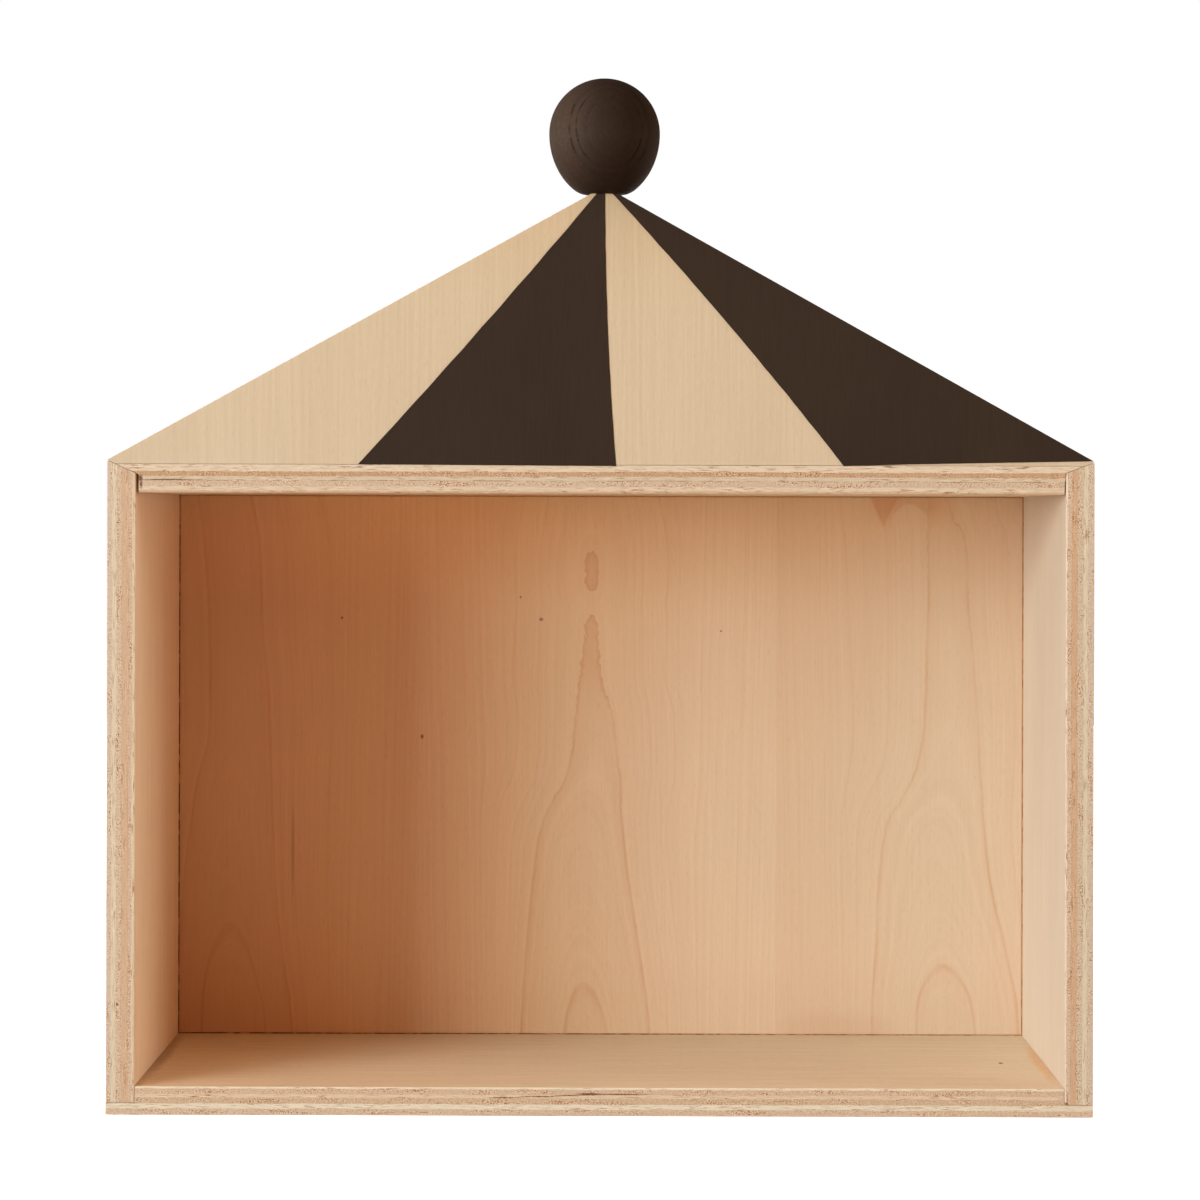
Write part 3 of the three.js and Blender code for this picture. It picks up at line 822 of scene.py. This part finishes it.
def board(name, slot, thick, low_face, high_face, edge, arris=ARRIS, shape=None):
    """A board of plywood: veneer on its two faces, plies on its edges."""
    working = whole_faces(name)
    close_joints(working, name)
    ease(working, name, arris)
    if shape is not None:
        shape(working)
    # The two faces look along the board's thickness, and all others are its edges.
    for face in working.faces:
        flat = face.normal[thick]
        face.material_index = 2 if abs(flat) < 0.9 else int(flat > 0)
    return finish_piece(object_from(name + "_board", working, [low_face, high_face, edge]), slot, name)


seams = random.Random(SEED)


def along_line(start, end, bow, wander):
    """Points from start to end (X, Z in mm) on a slightly bowed line, drawn by hand."""
    (x0, z0), (x1, z1) = start, end
    count = max(2, round(math.dist(start, end) / STRIPE_STEP))
    phases = [(seams.uniform(0, 2 * math.pi), seams.uniform(9, 32)) for _ in range(4)]
    points = []
    for i in range(count + 1):
        share = i / count
        run = share * math.dist(start, end)
        stray = sum(math.sin(run / length * 2 * math.pi + phase) for phase, length in phases) / 2
        fade = min(1.0, 8 * share, 8 * (1 - share))
        points.append(
            (
                x0 + (x1 - x0) * share + bow * 4 * share * (1 - share) + wander * stray * fade,
                z0 + (z1 - z0) * share,
            )
        )
    return points


def paint_film(name, outline, front, paint):
    """A film of paint with this outline in X and Z, its outer face at the height front in Y."""
    working = bmesh.new()
    corners = [working.verts.new((x * MM, front, z * MM)) for x, z in outline]
    face = working.faces.new(corners)
    if face.normal.y > 0:
        face.normal_flip()
    back = bmesh.ops.extrude_face_region(working, geom=[face])
    moved = [v for v in back["geom"] if isinstance(v, bmesh.types.BMVert)]
    bmesh.ops.translate(working, verts=moved, vec=(0, PAINT * MM, 0))
    bmesh.ops.triangulate(working, faces=working.faces)
    bmesh.ops.recalc_face_normals(working, faces=working.faces)
    return finish_piece(object_from(name + "_film", working, [paint]), "dark_paint", name)


def turned_ball(name, node, paint):
    """The ball, turned round its own upright line: a flat seat with a rounded rim, and a blind
    hole for the dowel."""
    low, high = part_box(node)
    radius = (high.x - low.x) / 2 / MM
    seat_rise, lower_reach, rim, hole, hole_deep = 24.5, 27.2, 1.6, 3.2, 15.5
    profile = [(0.0, hole_deep), (hole, hole_deep), (hole, 0.0)]
    seat = radius * math.sqrt(1 - (seat_rise / lower_reach) ** 2)
    first = math.asin((seat_rise - rim) / lower_reach)
    corner = (radius * math.cos(first), rim)
    for i in range(9):
        t = i / 8
        profile.append(
            (
                (1 - t) ** 2 * (seat - rim) + 2 * t * (1 - t) * seat + t * t * corner[0],
                t * t * corner[1],
            )
        )
    steps = 90
    for i in range(1, steps + 1):
        angle = -first + (first + math.pi / 2) * i / steps
        reach = lower_reach if angle < 0 else radius
        profile.append((max(0.0, radius * math.cos(angle)), seat_rise + reach * math.sin(angle)))
    working = bmesh.new()
    middle = (low + high) / 2
    line = [working.verts.new((middle.x + r * MM, middle.y, low.z + z * MM)) for r, z in profile]
    edges = [working.edges.new(pair) for pair in zip(line, line[1:])]
    bmesh.ops.spin(
        working,
        geom=line + edges,
        cent=middle,
        axis=(0, 0, 1),
        angle=2 * math.pi,
        steps=BALL_SEGMENTS,
        use_merge=True,
    )
    bmesh.ops.remove_doubles(working, verts=working.verts, dist=WELD * MM)
    bmesh.ops.recalc_face_normals(working, faces=working.faces)
    return finish_piece(object_from(name, working, [paint], smooth=True), "painted_ball", node)


maple = dict(pale="#D3C3A4", tan="#C0AD8B", streak="#A8865A")
warm_maple = dict(pale="#F2CFB3", tan="#E0BA9B", streak="#C08651")
# Lighter than the other maples: painted light on the left board, whose inner face lies in shade
left_maple_painted_light = dict(pale="#EFD1B4", tan="#DFBFA0", streak="#C08A58")
level_maple = dict(pale="#E8D8BC", tan="#D9C7A8", streak="#B98F62")
cool_maple = dict(pale="#E6D8C2", tan="#D5C4A9", streak="#B0946E")
rear_maple = dict(pale="#DDC4A3", tan="#CBAF8B", streak="#A8865A")
pale_maple = dict(pale="#D9C9B5", tan="#C6B49D", streak="#B08C68")


# Tints by mm: along Y on the left board, up Z on the tent front and along X on the floor. On the left
# board and the floor they are painted shade.
PAINTED_SHADE_REARWARD = ((-80, "#FFFFFF"), (0, "#FFFFFF"), (25, "#FFFDF5"), (60, "#FFF8EC"))
REDDER_UPWARD = ((264, "#FFFFFF"), (330, "#FFFEFA"), (374, "#FCF4E6"))
PAINTED_SHADE_LEFTWARD = ((-188, "#FFF5EA"), (-100, "#FFF9F0"), (0, "#FFFEFE"), (188, "#FFFFFF"))
# Painted shade in the floor's inner corners along its ends, warm on the right where light bounces off the
# board, and a dark speck: X, Y, half width and half length, mm
RIGHT_CORNER_SHADE = ((187.2, -14, 3.6, 56),)
LEFT_CORNER_SHADE = ((-188.2, -5, 4.6, 78),)
FLOOR_SPECK = ((170, -11.8, 1.0, 2.4),)


def left_painted_shade(tree, place, colour):
    """The left board's inner face grows redder towards the back, a painted shade deep in the box."""
    return tinted(tree, colour, in_millimetres(tree, place)[Y], PAINTED_SHADE_REARWARD)


def gable_finish(tree, place, colour):
    """The tent front grows a little redder towards its peak."""
    return tinted(tree, colour, in_millimetres(tree, place)[Z], REDDER_UPWARD)


def floor_shade_and_speck(tree, place, colour):
    """The floor is a little redder to the left, a painted shade under the left board's shadow, and has
    painted shade in its two inner corners and a speck.
    """
    colour = tinted(tree, colour, in_millimetres(tree, place)[X], PAINTED_SHADE_LEFTWARD)
    wavy = strayed(tree, place, streaks(tree, place, (9, 14, 9), 37), (4, 0, 0))
    # Painted shade in the inner corners, where the floor meets each side board
    colour = marked(tree, wavy, colour, Y, RIGHT_CORNER_SHADE, "#DDA45E", 0.6)
    colour = marked(tree, wavy, colour, Y, LEFT_CORNER_SHADE, "#8A4C24", 0.55)
    return marked(tree, place, colour, Y, FLOOR_SPECK, "#4A2408", 0.95)


upright_slant = dict(across=Y, along=Z, fine=3.0)
level_slant = dict(across=Y, along=X, flecks=0.3, grain=3.0, fine=4.0)
facing = dict(across=X, along=Z)
left_face = veneer(
    "maple_veneer_left", seed=4, grain=2.8, shade_and_tint=left_painted_shade, **upright_slant, **left_maple_painted_light
)
right_face = veneer("maple_veneer_right", seed=6, grain=1.5, **upright_slant, **pale_maple)
ceiling_face = veneer("maple_veneer_ceiling", seed=17, **level_slant, **level_maple)
floor_face = veneer("maple_veneer_floor", seed=17, shade_and_tint=floor_shade_and_speck, **level_slant, **level_maple)
top_face = veneer("maple_veneer_top", Y, X, seed=19, grain=1.5, **cool_maple)
gable_face = veneer(
    "maple_veneer_gable", seed=29, rings=0.2, grain=1.75, shade_and_tint=gable_finish, **facing, **maple
)
rear_face = veneer("maple_veneer_rear", seed=53, **facing, **rear_maple)
figured_face = veneer(
    "maple_veneer_figured", seed=71, grain=1.55, figure=arched_figure, **facing, **warm_maple
)

left_low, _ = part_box("left_side")
_, right_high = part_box("right_side")
_, top_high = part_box("top_board")
_, floor_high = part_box("bottom_board")
panel_low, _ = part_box("back_panel")
gable_low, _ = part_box("gable")
left_start, right_start = left_low.x / MM, right_high.x / MM
left_edge = ply_edge("plywood_edge_left", LEFT_PLIES, X, Z, left_start, 1, 3, LEFT_SPECK)
right_edge = ply_edge("plywood_edge_right", RIGHT_PLIES, X, Z, right_start, -1, 23, RIGHT_SPECK)
top_edge = ply_edge("plywood_edge_top", TOP_PLIES, Z, X, top_high.z / MM, -1, 43, NOTCH_STAINS)
bottom_edge = ply_edge("plywood_edge_bottom", BOTTOM_PLIES, Z, X, floor_high.z / MM, -1, 63, CRACK)
panel_edge = ply_edge("plywood_edge_panel", PANEL_PLIES, Y, X, panel_low.y / MM, 1, 83)
gable_edge = ply_edge("plywood_edge_gable", PANEL_PLIES, Y, X, gable_low.y / MM, 1, 93)

board("left_side", "plywood", X, left_face, left_face, left_edge)
board("right_side", "plywood", X, right_face, right_face, right_edge)
board("top_board", "plywood", Z, ceiling_face, top_face, top_edge, shape=fray_shoulder)
board("bottom_board", "plywood", Z, top_face, floor_face, bottom_edge)
board("back_panel", "plywood_back", Y, figured_face, rear_face, panel_edge)
board("gable", "plywood", Y, gable_face, rear_face, gable_edge, arris=GABLE_ARRIS)


def seam_glue(node, glue):
    """The glue line round the rear panel: a thin dark ring, a little sunk between the boards."""
    low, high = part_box(node)
    clear = SEAM_GAP * MM
    front, back = low.y + GLUE_SUNK * MM, high.y - GLUE_SUNK * MM
    rings = []
    working = bmesh.new()
    for y in (front, back):
        for grow in (0.1 * clear, 0.9 * clear):
            corners = [
                (low.x - grow, low.z - grow),
                (high.x + grow, low.z - grow),
                (high.x + grow, high.z + grow),
                (low.x - grow, high.z + grow),
            ]
            rings.append([working.verts.new((x, y, z)) for x, z in corners])
    front_in, front_out, back_in, back_out = rings
    around = (front_in, front_out, back_out, back_in, front_in)
    for one, other in zip(around, around[1:]):
        for i in range(4):
            j = (i + 1) % 4
            working.faces.new((one[i], one[j], other[j], other[i]))
    bmesh.ops.recalc_face_normals(working, faces=working.faces)
    made = object_from("seam_glue", working, [glue])
    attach(made, "root")


def dried_glue(name, seed):
    """Wood glue in the seam, filled with sanding dust: dark where it sank, tan where dust lies.
    The upper seam is full of dust and paler, partly a painted light against the top board's shade, and
    the glue is darker on the left, a painted shade where the left board's shadow falls."""
    material, tree, shader, place = begin(name, 0.7, specular=0.1)
    spot = add(tree, "SeparateXYZ", place)
    # Painted light: the top seam, in the top board's shade, and the right side are lifted towards tan
    # dust
    upper = add(tree, "MapRange", spot.outputs[Z], 240 * MM, 251 * MM, 0.0, 0.6)
    painted_light_rightward = add(tree, "MapRange", spot.outputs[X], -190 * MM, 190 * MM, -0.03, 0.07)
    dust = streaks(tree, place, (5, 5, 5), seed, 4.0, 0.7)
    dust_and_painted_light = add(tree, "Math", dust, upper, operation="ADD")
    dust_and_painted_light = add(tree, "Math", dust_and_painted_light, painted_light_rightward, operation="ADD")
    share = add(tree, "MapRange", dust_and_painted_light, 0.49, 0.58, 0.0, 1.0)
    # Painted shade: the glue is darker on the left, where the left board's shadow falls
    painted_shade_across = add(tree, "MapRange", spot.outputs[X], -190 * MM, 190 * MM, 0.0, 1.0)
    deep = add(tree, "Mix", painted_shade_across, "#60290F", "#B87340", data_type="RGBA")
    colour = add(tree, "Mix", share, deep, "#CE9C66", data_type="RGBA")
    cover(tree, shader, colour, dust, 0.05)
    return material


def shoulder_glue(low, high, glue):
    """Glue squeezed out into the top of the narrow slot at the right shoulder."""
    middle = (Vector(low) + Vector(high)) / 2 * MM
    size = (Vector(high) - Vector(low)) * MM
    working = bmesh.new()
    bmesh.ops.create_cube(working, matrix=Matrix.Translation(middle) @ Matrix.Diagonal((*size, 1)))
    made = object_from("shoulder_glue", working, [glue])
    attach(made, "root")


BEAD = ((187.85, -79.85, 257.7), (188.45, -60, 260.9))  # low and high corner in mm

glue = dried_glue("dried_glue", 115)
seam_glue("back_panel", glue)
shoulder_glue(*BEAD, glue)

# Painted stripes: edges measured as X and Z in mm at their base and peak
stripe_low, stripe_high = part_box("paint_stripe_left")
stripe_front = stripe_low.y
base, flat = stripe_low.z / MM, stripe_high.z / MM
foot_low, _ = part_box("paint_stripe_right")
tip_height = foot_low.z / MM + 1.5
dark_paint = matte_paint("matte_paint", "#2A2118", "#3B2E23", 101)
first = along_line((-98.4, base - 0.1), (-1.95, flat), 1.2, BRUSH_WANDER)
second = along_line((6.2, base - 0.55), (1.48, flat), -1.1, BRUSH_WANDER)
third = along_line((98.4, base - 0.35), (4.5, flat), 2.0, BRUSH_WANDER)
slope = [(6.42, flat + 0.1), (199.5, tip_height + 0.45)]
foot = [(196.6, tip_height + 0.35), (125, base + 0.45)]
paint_film("paint_stripe_left", first[::-1] + second, stripe_front, dark_paint)
paint_film("paint_stripe_right", third + slope + foot, stripe_front, dark_paint)

ball_paint = turned_and_painted("painted_turned_maple", "#453B32", "#635145", "#1D130D", 131)
turned_ball("finial_ball_turned", "finial_ball", ball_paint)

rod = dowel_rod("beech_rod", "#D8B88C", "#B98F60", 151)
for name in ("finial_dowel", "gable_dowel_1", "gable_dowel_2", "gable_dowel_3"):
    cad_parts[name].data.materials.clear()
    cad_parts[name].data.materials.append(rod)

zinc = zinc_plated("zinc_plated_steel", 171)


def hanger_plate(node):
    """A pressed keyhole plate with its burrs rubbed off."""
    working = whole_faces(node)
    rims = [
        e
        for e in working.edges
        if len(e.link_faces) == 2
        and e.calc_face_angle(0) > SHARP
        and abs(e.verts[0].co.y - e.verts[1].co.y) < 0.01 * MM
    ]
    bevel(working, rims, PLATE_ARRIS, clamped=True)
    made = object_from(node + "_pressed", working, [zinc], smooth=True)
    return finish_piece(made, "zinc_steel", node)


hanger_plate("left_hanger_plate")
hanger_plate("right_hanger_plate")


SCREWS = [f"{side}_hanger_screw_{end}" for side in ("left", "right") for end in ("lower", "upper")]


def head_middle(node):
    """The middle of a screw's head, which looks backwards."""
    low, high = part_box(node)
    return Vector(((low.x + high.x) / 2, high.y, (low.z + high.z) / 2))


def wood_screw():
    """One countersunk screw pointing along -Y, its head's face at y = 0, with a cross recess."""
    working = whole_faces(SCREWS[0])
    bmesh.ops.translate(working, verts=working.verts, vec=-head_middle(SCREWS[0]))
    return object_from("screw_pattern", working, [zinc], smooth=True)


def instanced_screws():
    """One screw set at each hole by geometry nodes, and made one plain mesh."""
    pattern = wood_screw()
    places = bpy.data.meshes.new("screw_places")
    places.from_pydata([tuple(head_middle(node)) for node in SCREWS], [], [])
    holder = new_object("hanger_screws_holder", places)

    tree = bpy.data.node_groups.new("screws_at_points", "GeometryNodeTree")
    tree.interface.new_socket("Geometry", in_out="INPUT", socket_type="NodeSocketGeometry")
    shape = tree.interface.new_socket("Screw", in_out="INPUT", socket_type="NodeSocketObject")
    tree.interface.new_socket("Geometry", in_out="OUTPUT", socket_type="NodeSocketGeometry")
    entry = tree.nodes.new("NodeGroupInput")
    leave = tree.nodes.new("NodeGroupOutput")
    screw = add(tree, "GeometryNodeObjectInfo", entry.outputs["Screw"])
    points, shown = entry.outputs["Geometry"], screw.outputs["Geometry"]
    set_out = add(tree, "GeometryNodeInstanceOnPoints", points, Instance=shown)
    real = add(tree, "GeometryNodeRealizeInstances", set_out)
    coated = add(tree, "GeometryNodeSetMaterial", real, Material=zinc)
    tree.links.new(coated.outputs[0], leave.inputs[0])

    setting = holder.modifiers.new("screws", "NODES")
    setting.node_group = tree
    setting[shape.identifier] = pattern
    bpy.context.view_layer.update()
    evaluated = holder.evaluated_get(bpy.context.evaluated_depsgraph_get())
    mesh = bpy.data.meshes.new_from_object(evaluated)
    mesh.name = "hanger_screws"
    made = new_object("hanger_screws", mesh)
    bpy.data.objects.remove(holder)
    bpy.data.objects.remove(pattern)
    return finish_piece(made, "zinc_steel", *SCREWS)


instanced_screws()


# Floor, light and camera


HALF_FLOOR = 12.0  # metres
DIM_STUDIO = 0.06  # what a reflection sees in front of the shelf
BACKDROP = 0.25  # and behind it


def straight_rays(tree):
    """1 for what the camera, a reflection or glass sees, 0 for light that reaches a surface."""
    path = add(tree, "LightPath")
    camera_ray, glossy, through = (
        path.outputs[f"Is {kind} Ray"] for kind in ("Camera", "Glossy", "Transmission")
    )
    straight = add(tree, "Math", camera_ray, glossy, operation="ADD")
    return add(tree, "Math", straight, through, operation="ADD", use_clamp=True)


def white_floor():
    """A pale floor that the camera sees as white, with the shelf's soft shadow near it."""
    material = bpy.data.materials.new("floor_white")
    tree = empty_tree(material)
    bare = add(tree, "BsdfDiffuse", "#967661")
    seen = add(tree, "BsdfDiffuse", "#D8D8D8")
    place = add(tree, "TexCoord").outputs["Object"]
    away = add(tree, "VectorMath", place, operation="LENGTH").outputs["Value"]
    level = add(tree, "MapRange", away, 0.3, 1.1, 0.86, 1.0, interpolation_type="SMOOTHSTEP")
    lit = add(tree, "AddShader", seen, add(tree, "Emission", Strength=level))
    add(tree, "OutputMaterial", add(tree, "MixShader", straight_rays(tree), bare, lit))
    corners = [(x * HALF_FLOOR, y * HALF_FLOOR, 0) for x, y in ((-1, -1), (1, -1), (1, 1), (-1, 1))]
    mesh = bpy.data.meshes.new("floor")
    mesh.from_pydata(corners, [], [(0, 1, 2, 3)])
    mesh.materials.append(material)
    floor = new_object("floor", mesh)


def white_world(strength):
    """White to the camera. A reflection sees a grey backdrop behind the shelf and a dim studio on
    the other side."""
    world = bpy.data.worlds.new("studio")
    bpy.context.scene.world = world
    tree = empty_tree(world)
    towards = add(tree, "SeparateXYZ", add(tree, "TexCoord").outputs["Generated"])
    backdrop = add(tree, "MapRange", towards.outputs[Y], -0.1, 0.3, DIM_STUDIO, BACKDROP)
    camera_ray = add(tree, "LightPath").outputs["Is Camera Ray"]
    white = add(tree, "Math", backdrop, camera_ray, operation="MAXIMUM")
    level = add(tree, "Mix", straight_rays(tree), strength, white)
    add(tree, "OutputWorld", add(tree, "Background", Color=(1, 1, 1, 1), Strength=level))


def softbox(name, azimuth, elevation, distance, size, watts, colour="#FFFFFF", fill=False):
    """A square soft lamp, aimed at the shelf. Azimuth 0 is in front and 90 is to the right. A fill
    stands for light off the studio's walls, so it makes no highlight."""
    lamp = bpy.data.lights.new(name, "AREA")
    lamp.shape, lamp.size, lamp.energy, lamp.color = "SQUARE", size, watts, linear(colour)[:3]
    a, e = math.radians(azimuth), math.radians(elevation)
    towards = Vector((math.sin(a) * math.cos(e), -math.cos(a) * math.cos(e), math.sin(e)))
    made = new_object(name, lamp)
    made.location = Vector((0, 0, 0.2)) + towards * distance
    made.rotation_euler = towards.to_track_quat("Z", "Y").to_euler()
    made.visible_camera = False
    made.visible_glossy = not fill


white_floor()
white_world(0.015)
# Name, azimuth, elevation, distance in metres, size, watts, colour and whether it is a fill
LAMPS = (
    ("key", -47, 3, 6.0, 2.4, 385, "#F5FFFF"),
    ("key_side", -58, 6, 6.0, 2.4, 65),
    ("key_high", -47, 50, 4.0, 2.2, 42),
    ("overhead", -10, 75, 2.0, 1.4, 14, "#FFB483", True),
    ("right", 74, 5, 2.0, 0.8, 10, "#FFE6B0", True),
    ("far_right", 84, 8, 2.0, 0.8, 21, "#DCF6FF", True),
    ("low_fill", -25, -5, 1.5, 0.16, 1.0, "#FFA850", True),
    ("warm_fill", 30, 0, 3.0, 1.2, 13, "#FF8050", True),
    ("rear", 180, 15, 2.5, 1.8, 48, "#FFF1E2", True),
    ("rear_shine", 180, 15, 2.5, 1.8, 8),
)
for lamp in LAMPS:
    softbox(*lamp)

# The camera's place and turn, solved from the corners of the box, its back seams, the tent front
# and the ball. It looks level, and the frame is shifted down to the box.
CAMERA_PLACE = (3.7, -1535.2, 244.2)
PITCH, YAW, ROLL = math.radians(0.0), math.radians(-0.156), math.radians(0.155)
ahead = Vector((math.sin(YAW) * math.cos(PITCH), math.cos(YAW) * math.cos(PITCH), math.sin(PITCH)))
level = Vector((math.cos(YAW), -math.sin(YAW), 0))
upright = level.cross(ahead)
right = math.cos(ROLL) * level + math.sin(ROLL) * upright
up = -math.sin(ROLL) * level + math.cos(ROLL) * upright
camera = new_object("camera", bpy.data.cameras.new("camera"))
camera.data.lens, camera.data.sensor_width, camera.data.shift_y = 107.793, 36.0, -0.0722
camera.data.clip_start, camera.data.clip_end = 0.05, 60.0
turned = Matrix((right, up, -ahead)).transposed().to_4x4()
camera.matrix_world = Matrix.Translation(Vector(CAMERA_PLACE) * MM) @ turned
bpy.context.scene.camera = camera
bpy.context.scene.view_settings.view_transform = "Standard"
